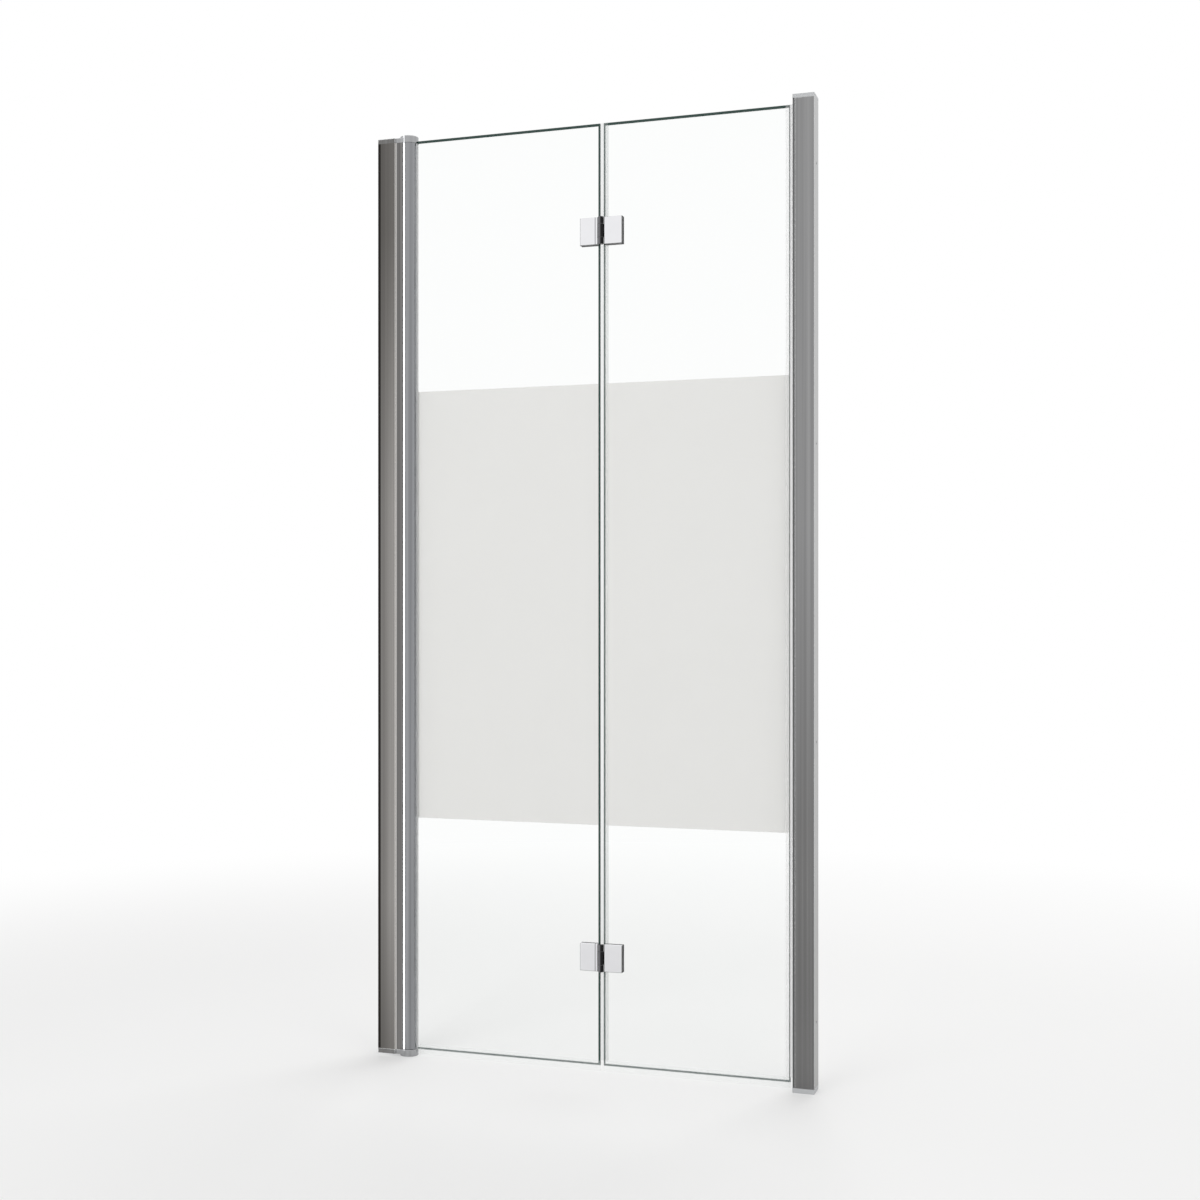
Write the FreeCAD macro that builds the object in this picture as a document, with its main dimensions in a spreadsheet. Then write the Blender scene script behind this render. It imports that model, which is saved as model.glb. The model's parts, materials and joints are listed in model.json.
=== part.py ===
import FreeCAD
import Part
import Sketcher
import os
import re

# Bi-fold shower door for a niche, in millimetres.
# X runs along the door from the hinge wall to the strike wall, Y points into the shower and Z is up.
# The origin is on the tray, midway between the walls and in the middle plane of the glass.
# The door is closed: the column turns in the wall frame and the second pane folds against the first.

SIZES = {
    # Niche and heights above the tray
    "niche_width": 885,
    "overall_height": 1850,
    "glass_bottom_lift": 14,
    "glass_top_inset": 14,
    # One overrun for every cut
    "cut_overrun": 1,
    # Fits
    "slide_clearance": 0.2,
    "plug_clearance": 0.1,
    "running_clearance": 0.05,
    # Panes
    "glass_thickness": 6,
    "glass_edge_bevel": 1,
    "fold_gap": 7.5,
    "folded_clearance": 14.5,
    # Frosted band on the shower side of both panes
    "band_lift": 464,
    "band_drop": 503,
    "band_bond": 0.03,
    "band_thickness": 0.25,
    # Channels on the two walls
    "channel_width": 37,
    "channel_depth": 40,
    "channel_wall": 1.8,
    "channel_edge_radius": 0.7,
    "wall_hole_radius": 2.6,
    "outer_wall_hole_inset": 120,
    "inner_wall_hole_inset": 640,
    # Profiles that slide in the channels
    "profile_wall": 1.6,
    "profile_back_gap": 12,
    "adjusting_screw_radius": 1.6,
    "adjusting_screw_head_radius": 3,
    "adjusting_screw_head_depth": 1.4,
    "adjusting_screw_length": 6,
    "adjusting_screw_from_wall": 24.5,
    "adjusting_screw_end_inset": 200,
    # Column and its cradle
    "pivot_from_wall": 59.5,
    "column_radius": 18.5,
    "column_wall": 2,
    "column_web": 1.6,
    "column_top_gap": 0.6,
    "cradle_clearance": 0.6,
    "glass_insertion": 10,
    "gasket_wall": 1.5,
    "gasket_floor": 1,
    "gasket_lip": 0.4,
    "column_plug_length": 30,
    # Pivot brackets at the two ends of the column
    "bracket_disc_height": 14,
    "bracket_plate_height": 9,
    "bracket_drop": 4,
    "bracket_bevel": 0.8,
    "spigot_length": 22,
    "bracket_screw_radius": 1.5,
    "bracket_screw_head_radius": 2.7,
    "bracket_screw_head_depth": 1.2,
    "bracket_screw_length": 6,
    "bracket_screw_from_pivot": 19.4,
    "pivot_pin_radius": 3,
    "pivot_pin_seat": 9,
    "pivot_pin_reach": 24,
    "thrust_washer_radius": 8,
    "thrust_washer_thickness": 1,
    # Strike side
    "strike_reach": 41.7,
    "strike_setback": 0.5,
    "strike_groove_depth": 7,
    "strike_groove_half": 7,
    "strike_cap_height": 7,
    "strike_foot_height": 9,
    "strike_cap_plug_length": 12,
    "cap_bevel": 0.6,
    # Magnetic closure
    "magnet_gap": 0.8,
    "magnet_nose": 5.9,
    "magnet_width": 6,
    "magnet_thickness": 3,
    "magnet_cover": 0.8,
    # Clear seals
    "seal_wall": 1,
    "seal_leg": 9,
    "seal_end_gap": 0.6,
    "seal_column_gap": 1,
    "middle_seal_nose_half": 2,
    "middle_seal_tip_gap": 0.3,
    "drip_drop": 11,
    "drip_fin_reach": 3.5,
    # Glass hinges between the panes
    "hinge_inset": 209,
    "hinge_plate_width": 36,
    "hinge_plate_height": 53,
    "hinge_plate_thickness": 5,
    "hinge_plate_bevel": 0.7,
    "hinge_gasket": 1,
    "inner_plate_thickness": 4,
    "leaf_gap": 0.8,
    "knuckle_radius": 5.5,
    "knuckle_play": 1,
    "end_knuckle_height": 13,
    "hinge_pin_radius": 2.5,
    "hinge_washer_radius": 5.2,
    "hinge_washer_thickness": 0.8,
    "hinge_screw_spacing": 26,
    "hinge_screw_radius": 2.5,
    "hinge_screw_head_radius": 4.6,
    "hinge_screw_head_depth": 2.3,
    "hinge_screw_floor": 1.2,
    "hinge_socket_radius": 1.7,
    "hinge_socket_depth": 1.6,
    "glass_hole_radius": 6,
}

# Places worked out from the sizes, each from the ones above it
PLACES = {
    # Heights
    "glass_low": "glass_bottom_lift",
    "glass_high": "overall_height - glass_top_inset",
    "bottom_seat": "bracket_disc_height",
    "top_seat": "glass_high - bracket_drop",
    "column_low": "bottom_seat + thrust_washer_thickness + 2 * running_clearance",
    "column_high": "top_seat - column_top_gap",
    "strike_low": "strike_foot_height",
    "strike_high": "overall_height - strike_cap_height",
    "band_low": "glass_low + band_lift",
    "band_high": "glass_high - band_drop",
    "lower_hinge_z": "glass_low + hinge_inset",
    "upper_hinge_z": "glass_high - hinge_inset",
    "seal_low": "glass_low + seal_leg + seal_end_gap",
    # Places along the door
    "hinge_wall": "-niche_width / 2",
    "strike_wall": "niche_width / 2",
    "hinge_channel_end": "hinge_wall + channel_width",
    "strike_channel_end": "strike_wall - channel_width",
    "pivot_x": "hinge_wall + pivot_from_wall",
    "column_edge": "pivot_x + column_radius",
    "carrier_back": "hinge_wall + profile_back_gap",
    "strike_back": "strike_wall - profile_back_gap",
    "strike_face": "strike_wall - strike_reach",
    "strike_front": "strike_face + strike_setback",
    "groove_floor": "strike_front + strike_groove_depth",
    "door_end": "strike_face - magnet_gap",
    "fold_x": "pivot_x + (door_end - pivot_x + column_radius + folded_clearance) / 2",
    "hinge_glass_left": "column_edge - glass_insertion",
    "hinge_glass_right": "fold_x - fold_gap / 2",
    "folding_glass_left": "fold_x + fold_gap / 2",
    "folding_glass_right": "door_end - magnet_nose",
    "slot_floor": "hinge_glass_left - gasket_floor",
    "cavity_face": "slot_floor - column_web",
    "gasket_mouth": "column_edge + gasket_lip",
    "notch_edge": "column_edge + cradle_clearance",
    # Places across the door
    "channel_half": "channel_depth / 2",
    "channel_inner_half": "channel_half - channel_wall",
    "profile_half": "channel_inner_half - slide_clearance",
    "profile_inner_half": "profile_half - profile_wall",
    "glass_half": "glass_thickness / 2",
    "band_back": "glass_half + band_bond",
    "band_face": "band_back + band_thickness",
    "slot_half": "glass_half + gasket_wall",
    "leaf_back": "-glass_half - hinge_gasket",
    "leaf_front": "leaf_back - hinge_plate_thickness",
    "fold_y": "leaf_front - leaf_gap / 2",
    "inner_plate_back": "glass_half + hinge_gasket",
    "inner_plate_front": "inner_plate_back + inner_plate_thickness",
    "clip_outer": "glass_half + seal_wall",
    "clip_slot": "band_face + plug_clearance",
    # Radii round the pivot and the fold
    "cradle_radius": "column_radius + cradle_clearance",
    "column_inner_radius": "column_radius - column_wall",
    "leaf_edge": "knuckle_radius + knuckle_play",
    "leaf_far_edge": "leaf_edge + hinge_plate_width",
    "leaf_centre": "leaf_edge + hinge_plate_width / 2",
    # Hinge knuckles, measured from the middle of the hinge
    "hinge_half": "hinge_plate_height / 2",
    "end_knuckle_inner": "hinge_half - end_knuckle_height",
    "hinge_washer_inner": "end_knuckle_inner - running_clearance - hinge_washer_thickness",
    "middle_knuckle_half": "hinge_washer_inner - running_clearance",
}

HOME = {name: f"Sizes.{name}" for name in SIZES}
HOME.update({name: f"Places.{name}" for name in PLACES})

doc = FreeCAD.newDocument("bifold_shower_door")
nodes = {}
cuts = []


# Sheets and bindings

def full(expression):
    """The expression with each size and place named together with its sheet."""
    return re.sub(r"[a-z_]+", lambda word: HOME.get(word.group(), word.group()), expression)


def add_sheet(name, cells):
    sheet = doc.addObject("Spreadsheet::Sheet", name)
    for row, (alias, content) in enumerate(cells.items(), start=1):
        sheet.set(f"A{row}", alias)
        sheet.set(f"B{row}", content)
        sheet.setAlias(f"B{row}", alias)
    doc.recompute()
    return sheet


add_sheet("Sizes", {name: str(value) for name, value in SIZES.items()})
places_sheet = add_sheet("Places", {name: f"={full(formula)}" for name, formula in PLACES.items()})


def bind(thing, property_name, expression):
    thing.setExpression(property_name, full(expression))


def value_of(expression):
    return float(places_sheet.evalExpression(full(expression)))


def span(start, direction, length):
    """Low and high end of a length that runs up or down from its start."""
    return (start, f"{start} + {length}") if direction > 0 else (f"{start} - {length}", start)


def both_sides(half):
    return (f"-({half})", half)


# Primitives and booleans

AXIS_TURNS = {
    "x": FreeCAD.Rotation(FreeCAD.Vector(0, 1, 0), 90),
    "y": FreeCAD.Rotation(FreeCAD.Vector(1, 0, 0), -90),
    "z": FreeCAD.Rotation(),
}


def box(name, x_ends, y_ends, z_ends):
    solid = doc.addObject("Part::Box", name)
    for axis, size, (low, high) in zip("xyz", ("Length", "Width", "Height"), (x_ends, y_ends, z_ends)):
        bind(solid, size, f"({high}) - ({low})")
        bind(solid, f"Placement.Base.{axis}", low)
    return solid


def lay_along(solid, axis, centre, low):
    """Turns a round solid to its axis. Its centre is given on the other two axes, in XYZ order."""
    solid.Placement = FreeCAD.Placement(FreeCAD.Vector(), AXIS_TURNS[axis])
    across = iter(centre)
    for name in "xyz":
        bind(solid, f"Placement.Base.{name}", low if name == axis else next(across))


def rod(name, axis, centre, radius, ends):
    solid = doc.addObject("Part::Cylinder", name)
    low, high = ends
    bind(solid, "Radius", radius)
    bind(solid, "Height", f"({high}) - ({low})")
    lay_along(solid, axis, centre, low)
    return solid


def cone(name, axis, centre, radii, ends):
    solid = doc.addObject("Part::Cone", name)
    low, high = ends
    bind(solid, "Radius1", radii[0])
    bind(solid, "Radius2", radii[1])
    bind(solid, "Height", f"({high}) - ({low})")
    lay_along(solid, axis, centre, low)
    return solid


def hexagon(name, axis, centre, radius, ends):
    solid = doc.addObject("Part::Prism", name)
    low, high = ends
    bind(solid, "Circumradius", radius)
    bind(solid, "Height", f"({high}) - ({low})")
    lay_along(solid, axis, centre, low)
    return solid


def fuse(name, *solids):
    joined = doc.addObject("Part::MultiFuse", name)
    joined.Shapes = list(solids)
    joined.Refine = True
    return joined


def cut(name, base, *tools):
    tool = tools[0] if len(tools) == 1 else fuse(f"{name}_cutters", *tools)
    result = doc.addObject("Part::Cut", name)
    result.Base = base
    result.Tool = tool
    cuts.append((result, base))
    return result


def common(name, first, second):
    shared = doc.addObject("Part::Common", name)
    shared.Base = first
    shared.Tool = second
    return shared


def group(name, solids):
    together = doc.addObject("Part::Compound", name)
    together.Links = solids
    return together


def node(name, piece):
    piece.Label = name
    nodes[name] = piece
    return piece


# Bodies with sketches

def normal_ends(plane, ends):
    """Low and high end measured along the plane's normal, which is -Y for the XZ plane."""
    low, high = ends
    return (f"-({high})", f"-({low})") if plane == "XZ_Plane" else (low, high)


def sketch_on(body, name, plane, offset):
    sketch = body.newObject("Sketcher::SketchObject", name)
    support = next(part for part in body.Origin.OriginFeatures if part.Role == plane)
    sketch.AttachmentSupport = [(support, "")]
    sketch.MapMode = "FlatFace"
    bind(sketch, "AttachmentOffset.Base.z", offset)
    return sketch


def fix_point(sketch, geometry, point, place):
    """Holds a point of the sketch at a place that follows the sheets."""
    for kind, expression in zip(("DistanceX", "DistanceY"), place):
        origin = (-1, 1)
        distance = Sketcher.Constraint(kind, *origin, geometry, point, value_of(expression))
        index = sketch.addConstraint(distance)
        bind(sketch, f"Constraints[{index}]", expression)


def draw_polygon(sketch, corners):
    at = [FreeCAD.Vector(value_of(across), value_of(up), 0) for across, up in corners]
    ends = at[1:] + at[:1]
    lines = sketch.addGeometry([Part.LineSegment(a, b) for a, b in zip(at, ends)])
    sketch.addConstraint(
        [Sketcher.Constraint("Coincident", a, 2, b, 1) for a, b in zip(lines, lines[1:] + lines[:1])]
    )
    for line, corner in zip(lines, corners):
        fix_point(sketch, line, 1, corner)


def draw_circle(sketch, centre, radius):
    at = FreeCAD.Vector(value_of(centre[0]), value_of(centre[1]), 0)
    up = FreeCAD.Vector(0, 0, 1)
    circle = sketch.addGeometry(Part.Circle(at, up, value_of(radius)))
    index = sketch.addConstraint(Sketcher.Constraint("Radius", circle, value_of(radius)))
    bind(sketch, f"Constraints[{index}]", radius)
    fix_point(sketch, circle, 3, centre)


def rectangle(across, up):
    return [(across[0], up[0]), (across[1], up[0]), (across[1], up[1]), (across[0], up[1])]


def extrusion(name, plane, outlines, ends):
    """A body whose outlines, drawn on a plane, run between two places along its normal."""
    body = doc.addObject("PartDesign::Body", f"{name}_body")
    low, high = ends
    sketch = sketch_on(body, f"{name}_section", plane, normal_ends(plane, ends)[0])
    for outline in outlines:
        draw_polygon(sketch, outline)
    pad = body.newObject("PartDesign::Pad", f"{name}_pad")
    pad.Profile = sketch
    bind(pad, "Length", f"({high}) - ({low})")
    doc.recompute()
    return body


def drill(body, name, plane, centres, radius, ends):
    """Round holes through a body, between two places along the plane's normal."""
    low, high = ends
    before = body.Tip
    sketch = sketch_on(body, f"{name}_holes", plane, f"{normal_ends(plane, ends)[1]} + cut_overrun")
    for centre in centres:
        draw_circle(sketch, centre, radius)
    pocket = body.newObject("PartDesign::Pocket", f"{name}_pocket")
    pocket.Profile = sketch
    bind(pocket, "Length", f"({high}) - ({low}) + 2 * cut_overrun")
    doc.recompute()
    cuts.append((pocket, before))
    return body


def ease_edges(body, kind, size_name, size, wanted):
    """A chamfer or fillet on the edges of the body that the test picks."""
    before = body.Tip
    picked = [f"Edge{number}" for number, edge in enumerate(before.Shape.Edges, start=1) if wanted(edge)]
    eased = body.newObject(f"PartDesign::{kind}", f"{body.Name}_{kind.lower()}")
    eased.Base = (before, picked)
    bind(eased, size_name, size)
    doc.recompute()
    cuts.append((eased, before))
    return body


def lies_at(edge, axis, place):
    """Whether the whole edge lies at one place on an axis."""
    wanted = value_of(place)
    slack = value_of("running_clearance")
    return all(abs(getattr(vertex.Point, axis) - wanted) < slack for vertex in edge.Vertexes)


# Screws along Y with a flush countersunk head on the shower side

def countersunk_screw(name, place, radius, head_radius, head_depth, ends):
    low, face = ends
    neck = f"{face} - {head_depth}"
    shank = rod(f"{name}_shank", "y", place, radius, (low, neck))
    head = cone(f"{name}_head", "y", place, (radius, head_radius), (neck, face))
    return fuse(name, shank, head)


def countersunk_hole(name, place, radius, head_radius, head_depth, ends):
    """The cutter for such a screw, larger by the running clearance."""
    low, face = ends
    neck = f"{face} - {head_depth}"
    wide = f"{radius} + running_clearance"
    wide_head = f"{head_radius} + running_clearance"
    shank = rod(f"{name}_bore", "y", place, wide, (low, neck))
    head = cone(f"{name}_sink", "y", place, (wide, wide_head), (neck, face))
    return fuse(name, shank, head)


# Wall channels

def wall_hole_heights(low, high):
    insets = ("outer_wall_hole_inset", "inner_wall_hole_inset")
    return [f"{low} + {inset}" for inset in insets] + [f"{high} - {inset}" for inset in insets]


def adjusting_heights(low, high):
    inset = "adjusting_screw_end_inset"
    return [f"{low} + {inset}", f"({low} + {high}) / 2", f"{high} - {inset}"]


ADJUSTING_SCREW = ("adjusting_screw_radius", "adjusting_screw_head_radius", "adjusting_screw_head_depth")


def adjusting_cutters(name, screw_x, heights):
    ends = ("channel_half - adjusting_screw_length - cut_overrun", "channel_half")
    return [
        countersunk_hole(f"{name}_screw_hole", (screw_x, height), *ADJUSTING_SCREW, ends)
        for height in heights
    ]


def adjusting_screws(name, screw_x, heights):
    ends = ("channel_half - adjusting_screw_length", "channel_half")
    screws = [
        countersunk_screw(f"{name}_screw", (screw_x, height), *ADJUSTING_SCREW, ends)
        for height in heights
    ]
    return node(name, group(name, screws))


def wall_channel(name, wall, lip, web_face, screw_x, low, high):
    """U channel with its web on the wall, open towards the door."""
    outline = [
        (wall, "-channel_half"),
        (lip, "-channel_half"),
        (lip, "-channel_inner_half"),
        (web_face, "-channel_inner_half"),
        (web_face, "channel_inner_half"),
        (lip, "channel_inner_half"),
        (lip, "channel_half"),
        (wall, "channel_half"),
    ]
    body = extrusion(name, "XY_Plane", [outline], (low, high))
    ease_edges(
        body, "Fillet", "Radius", "channel_edge_radius",
        lambda edge: lies_at(edge, "x", lip)
        and (lies_at(edge, "y", "channel_half") or lies_at(edge, "y", "-channel_half")),
    )
    web_ends = (wall, web_face) if value_of(wall) < value_of(web_face) else (web_face, wall)
    centres = [("0", height) for height in wall_hole_heights(low, high)]
    drill(body, name, "YZ_Plane", centres, "wall_hole_radius", web_ends)
    heights = adjusting_heights(low, high)
    return node(name, cut(name, body, *adjusting_cutters(name, screw_x, heights)))


# Hinge side of the wall frame

HINGE_SCREW_X = "hinge_wall + adjusting_screw_from_wall"
PIVOT = ("pivot_x", "0")


def build_hinge_channel():
    wall_channel(
        "hinge_wall_channel", "hinge_wall", "hinge_channel_end", "hinge_wall + channel_wall",
        HINGE_SCREW_X, "bottom_seat", "top_seat",
    )
    heights = adjusting_heights("bottom_seat", "top_seat")
    adjusting_screws("hinge_side_adjusting_screws", HINGE_SCREW_X, heights)


def build_pivot_carrier():
    """Hollow profile, open at the back, with a round cradle for the column."""
    name = "pivot_carrier"
    ends = ("bottom_seat", "top_seat")
    long_ends = ("bottom_seat - cut_overrun", "top_seat + cut_overrun")
    block = box(f"{name}_block", ("carrier_back", "pivot_x"), both_sides("profile_half"), ends)
    cradle = rod(f"{name}_cradle", "z", PIVOT, "cradle_radius", long_ends)
    hollow = cut(
        f"{name}_hollow",
        box(
            f"{name}_core", ("carrier_back - cut_overrun", "pivot_x"),
            both_sides("profile_inner_half"), long_ends,
        ),
        rod(f"{name}_cradle_wall", "z", PIVOT, "cradle_radius + profile_wall", long_ends),
    )
    heights = adjusting_heights(*ends)
    cutters = adjusting_cutters(name, HINGE_SCREW_X, heights)
    cutters += [bracket_screw_hole(name, seat, away) for seat, away in BRACKET_SEATS.values()]
    node(name, cut(name, block, cradle, hollow, *cutters))


# Pivot brackets: a plate that caps the channel, a round disc over the column and a spigot

BRACKET_SEATS = {"bottom": ("bottom_seat", -1), "top": ("top_seat", 1)}
BRACKET_SCREW = ("bracket_screw_radius", "bracket_screw_head_radius", "bracket_screw_head_depth")


def bracket_screw_place(seat, away):
    middle = f"{seat} - {away} * spigot_length / 2"
    return ("pivot_x - bracket_screw_from_pivot", middle)


def bracket_screw_hole(name, seat, away):
    ends = ("profile_half - bracket_screw_length - running_clearance", "profile_half")
    return countersunk_hole(f"{name}_screw_hole", bracket_screw_place(seat, away), *BRACKET_SCREW, ends)


def pivot_bracket(end, seat, away):
    name = f"{end}_pivot_bracket"
    plate_ends = span(seat, away, "bracket_plate_height")
    plate = box(
        f"{name}_plate", ("hinge_wall", "hinge_channel_end"), both_sides("channel_half"), plate_ends,
    )
    neck = box(f"{name}_neck", ("hinge_channel_end", "pivot_x"), both_sides("profile_half"), plate_ends)
    disc_ends = span(seat, away, "(bracket_disc_height - bracket_bevel)")
    disc = rod(f"{name}_disc", "z", PIVOT, "column_radius", disc_ends)
    rim_start = f"{seat} + {away} * (bracket_disc_height - bracket_bevel)"
    radii = ("column_radius", "column_radius - bracket_bevel")
    rim_radii = radii if away > 0 else radii[::-1]
    rim = cone(f"{name}_rim", "z", PIVOT, rim_radii, span(rim_start, away, "bracket_bevel"))
    spigot_ends = span(seat, -away, "spigot_length")
    spigot = cut(
        f"{name}_spigot",
        box(
            f"{name}_tongue", ("carrier_back", "pivot_x"),
            both_sides("profile_inner_half - slide_clearance"), spigot_ends,
        ),
        rod(
            f"{name}_tongue_relief", "z", PIVOT, "cradle_radius + profile_wall + slide_clearance",
            spigot_ends,
        ),
    )
    casting = fuse(f"{name}_casting", plate, neck, disc, rim, spigot)
    bore = rod(
        f"{name}_bore", "z", PIVOT, "pivot_pin_radius + running_clearance",
        span(f"{seat} - {away} * cut_overrun", away, "(cut_overrun + pivot_pin_seat)"),
    )
    node(name, cut(name, casting, bore, bracket_screw_hole(name, seat, away)))


def pivot_pin(end, seat, away):
    name = f"{end}_pivot_pin"
    foot = f"{seat} + {away} * pivot_pin_seat"
    ends = span(foot, -away, "(pivot_pin_seat + pivot_pin_reach)")
    node(name, rod(name, "z", PIVOT, "pivot_pin_radius", ends))


def build_pivot_brackets():
    for end, (seat, away) in BRACKET_SEATS.items():
        pivot_bracket(end, seat, away)
        pivot_pin(end, seat, away)
    screw_ends = ("profile_half - bracket_screw_length", "profile_half")
    screws = [
        countersunk_screw(
            f"{end}_bracket_screw", bracket_screw_place(seat, away), *BRACKET_SCREW, screw_ends,
        )
        for end, (seat, away) in BRACKET_SEATS.items()
    ]
    node("bracket_screws", group("bracket_screws", screws))


def ring(name, centre, outer_radius, inner_radius, ends):
    low, high = ends
    hole_ends = (f"{low} - cut_overrun", f"{high} + cut_overrun")
    return cut(
        name,
        rod(f"{name}_blank", "z", centre, outer_radius, ends),
        rod(f"{name}_hole", "z", centre, inner_radius, hole_ends),
    )


def build_thrust_washer():
    name = "bottom_thrust_washer"
    ends = span("bottom_seat + running_clearance", 1, "thrust_washer_thickness")
    bore = "pivot_pin_radius + running_clearance"
    node(name, ring(name, PIVOT, "thrust_washer_radius", bore, ends))


# Strike side of the wall frame

STRIKE_SCREW_X = "strike_wall - adjusting_screw_from_wall"


def build_strike_channel():
    wall_channel(
        "strike_wall_channel", "strike_wall", "strike_channel_end", "strike_wall - channel_wall",
        STRIKE_SCREW_X, "strike_low", "strike_high",
    )
    heights = adjusting_heights("strike_low", "strike_high")
    adjusting_screws("strike_adjusting_screws", STRIKE_SCREW_X, heights)


def build_strike_profile():
    """Profile with a groove for the magnet holder, open towards the wall."""
    name = "strike_profile"
    inner_face = "strike_front + profile_wall"
    groove_back = "groove_floor + profile_wall"
    groove_side = "strike_groove_half + profile_wall"
    outline = [
        ("strike_front", "-profile_half"),
        ("strike_back", "-profile_half"),
        ("strike_back", "-profile_inner_half"),
        (inner_face, "-profile_inner_half"),
        (inner_face, f"-({groove_side})"),
        (groove_back, f"-({groove_side})"),
        (groove_back, groove_side),
        (inner_face, groove_side),
        (inner_face, "profile_inner_half"),
        ("strike_back", "profile_inner_half"),
        ("strike_back", "profile_half"),
        ("strike_front", "profile_half"),
        ("strike_front", "strike_groove_half"),
        ("groove_floor", "strike_groove_half"),
        ("groove_floor", "-strike_groove_half"),
        ("strike_front", "-strike_groove_half"),
    ]
    ends = ("strike_low", "strike_high")
    body = extrusion(name, "XY_Plane", [outline], ends)
    cutters = adjusting_cutters(name, STRIKE_SCREW_X, adjusting_heights(*ends))
    node(name, cut(name, body, *cutters))


def magnet_room(start, direction):
    """Outline of the room that holds a magnet behind its cover."""
    face = f"{start} + {direction} * magnet_cover"
    ends = span(face, direction, "magnet_thickness")
    return rectangle(ends, both_sides("magnet_width / 2"))


def magnet(name, start, direction, z_ends):
    face = f"{start} + {direction} * (magnet_cover + running_clearance)"
    x_ends = span(face, direction, "(magnet_thickness - 2 * running_clearance)")
    y_ends = both_sides("magnet_width / 2 - running_clearance")
    node(name, box(name, x_ends, y_ends, z_ends))


def build_strike_magnet():
    name = "strike_magnet_holder"
    ends = ("strike_low", "strike_high")
    section = rectangle(("strike_face", "groove_floor"), both_sides("strike_groove_half - plug_clearance"))
    node(name, extrusion(name, "XY_Plane", [section, magnet_room("strike_face", 1)], ends))
    magnet("strike_magnet", "strike_face", 1, ends)


def strike_cap(name, seat, away, height):
    """Moulded cap over the channel and profile, with a plug in the space behind the profile."""
    outer = f"{seat} + {away} * {height}"
    plate_ends = span(seat, away, height)
    section = rectangle(("strike_front", "strike_wall"), both_sides("channel_half"))
    plate = extrusion(f"{name}_plate", "XY_Plane", [section], plate_ends)
    ease_edges(plate, "Chamfer", "Size", "cap_bevel", lambda edge: lies_at(edge, "z", outer))
    plug = box(
        f"{name}_plug",
        ("strike_back + slide_clearance", "strike_wall - channel_wall - slide_clearance"),
        both_sides("channel_inner_half - slide_clearance"),
        span(seat, -away, "strike_cap_plug_length"),
    )
    node(name, fuse(name, plate, plug))


def build_strike_caps():
    strike_cap("strike_top_cap", "strike_high", 1, "strike_cap_height")
    strike_cap("strike_bottom_cap", "strike_low", -1, "strike_foot_height")


# Column that carries the first pane

COLUMN_ENDS = ("column_low", "column_high")
COLUMN_CUT_ENDS = ("column_low - cut_overrun", "column_high + cut_overrun")


def build_column():
    name = "door_column"
    blank = rod(f"{name}_blank", "z", PIVOT, "column_radius", COLUMN_ENDS)
    bore_side = common(
        f"{name}_pivot_cavity",
        rod(f"{name}_pivot_bore", "z", PIVOT, "column_inner_radius", COLUMN_CUT_ENDS),
        box(
            f"{name}_pivot_side", ("pivot_x - column_radius", "cavity_face"),
            both_sides("column_radius"), COLUMN_CUT_ENDS,
        ),
    )
    slot_ends = ("slot_floor", "column_edge + cut_overrun")
    slot = box(f"{name}_slot", slot_ends, both_sides("slot_half"), COLUMN_CUT_ENDS)
    rib_face = "slot_half + column_web"
    side_pockets = [
        common(
            f"{name}_pocket",
            rod(f"{name}_pocket_bore", "z", PIVOT, "column_inner_radius", COLUMN_CUT_ENDS),
            box(f"{name}_pocket_side", ("slot_floor", "column_edge"), y_ends, COLUMN_CUT_ENDS),
        )
        for y_ends in ((rib_face, "column_radius"), ("-column_radius", f"-({rib_face})"))
    ]
    node(name, cut(name, blank, bore_side, slot, *side_pockets))


def column_plug(end, start, into):
    """Plug that fills the pivot side of the column and turns on the pivot pin."""
    name = f"column_{end}_plug"
    ends = span(start, into, "column_plug_length")
    low, high = ends
    plug = common(
        f"{name}_blank",
        rod(f"{name}_round", "z", PIVOT, "column_inner_radius - plug_clearance", ends),
        box(
            f"{name}_side", ("pivot_x - column_radius", "cavity_face - plug_clearance"),
            both_sides("column_radius"), ends,
        ),
    )
    bore_ends = (f"{low} - cut_overrun", f"{high} + cut_overrun")
    bore = rod(f"{name}_bore", "z", PIVOT, "pivot_pin_radius + running_clearance", bore_ends)
    node(name, cut(name, plug, bore))


def build_column_plugs():
    column_plug("bottom", "column_low", 1)
    column_plug("top", "column_high", -1)


def build_glazing_gasket():
    name = "glazing_gasket"
    outline = [
        ("slot_floor", "-slot_half"),
        ("gasket_mouth", "-slot_half"),
        ("gasket_mouth", "-glass_half"),
        ("hinge_glass_left", "-glass_half"),
        ("hinge_glass_left", "glass_half"),
        ("gasket_mouth", "glass_half"),
        ("gasket_mouth", "slot_half"),
        ("slot_floor", "slot_half"),
    ]
    node(name, extrusion(name, "XY_Plane", [outline], COLUMN_ENDS))


# Panes and frosted bands

HINGES = {"lower": "lower_hinge_z", "upper": "upper_hinge_z"}


def hinge_screw_heights(middle):
    return [f"{middle} - hinge_screw_spacing / 2", f"{middle} + hinge_screw_spacing / 2"]


def pane(name, outline, hole_x):
    """A pane with its edges eased on both faces and holes for the hinge screws."""
    faces = both_sides("glass_half")
    body = extrusion(name, "XZ_Plane", [outline], faces)
    ease_edges(
        body, "Chamfer", "Size", "glass_edge_bevel",
        lambda edge: any(lies_at(edge, "y", face) for face in faces),
    )
    centres = [(hole_x, height) for middle in HINGES.values() for height in hinge_screw_heights(middle)]
    node(name, drill(body, name, "XZ_Plane", centres, "glass_hole_radius", faces))


def frosted_band(name, x_ends):
    section = rectangle(x_ends, ("band_low", "band_high"))
    node(name, extrusion(name, "XZ_Plane", [section], ("band_back", "band_face")))


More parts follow.
